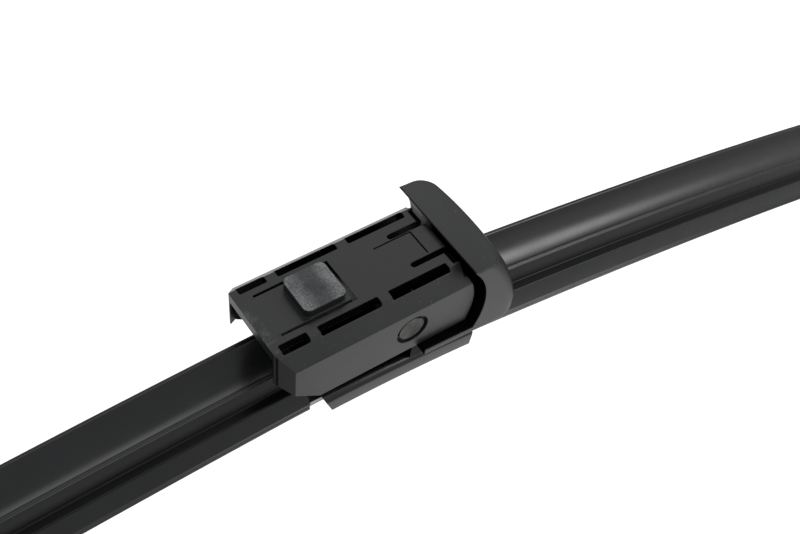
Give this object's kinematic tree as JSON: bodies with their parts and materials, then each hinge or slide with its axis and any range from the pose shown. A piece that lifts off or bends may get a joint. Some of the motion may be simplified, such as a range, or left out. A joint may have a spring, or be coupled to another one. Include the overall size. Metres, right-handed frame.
{
  "type": "windscreen wiper blade",
  "caption": "Flat wiper blade with a push-button arm adapter that rocks on a pivot pin, spoilers on steel rails and a rubber wiping edge.",
  "frame": {"origin": "middle of the arm seat on the adapter's top plate, straight above the pivot pin", "axes": "+X along the blade towards the joint cover, +Y across the blade away from the pictured side, +Z out of the arm seat, away from the glass"},
  "size_m": [0.4959, 0.0188, 0.0895],
  "materials": {
    "adapter_plastic": "fine grained black moulding",
    "button_plastic": "frosted black moulding",
    "pin_steel": "dull turned steel",
    "bracket_black": "glossy black coat",
    "cover_plastic": "fine grained black moulding",
    "rail_steel": "plain spring steel",
    "wiping_rubber": "matt black",
    "spoiler_rubber": "smooth satin black",
    "cap_plastic": "fine grained black moulding"
  },
  "bodies": {
    "adapter": {"adapter": "adapter_plastic"},
    "button": {"push_button": "button_plastic"},
    "blade": {"base_bracket": "bracket_black", "joint_cover": "cover_plastic", "pivot_pin": "pin_steel", "rail_near": "rail_steel", "rail_far": "rail_steel", "wiping_rubber": "wiping_rubber", "spoiler_left": "spoiler_rubber", "spoiler_right": "spoiler_rubber", "end_cap_left": "cap_plastic", "end_cap_right": "cap_plastic"}
  },
  "joints": [
    {"name": "blade_pivot", "type": "hinge", "parent": "adapter", "child": "blade", "pos_m": [0, 0, -0.00666], "axis": [0, 1, 0], "range_deg": [-6, 8]},
    {"name": "button_press", "type": "hinge", "parent": "adapter", "child": "button", "pos_m": [-0.0184, 0, -0.0006], "axis": [0, 1, 0], "range_deg": [0, 12], "stiffness_Nm_per_rad": 0.5}
  ]
}
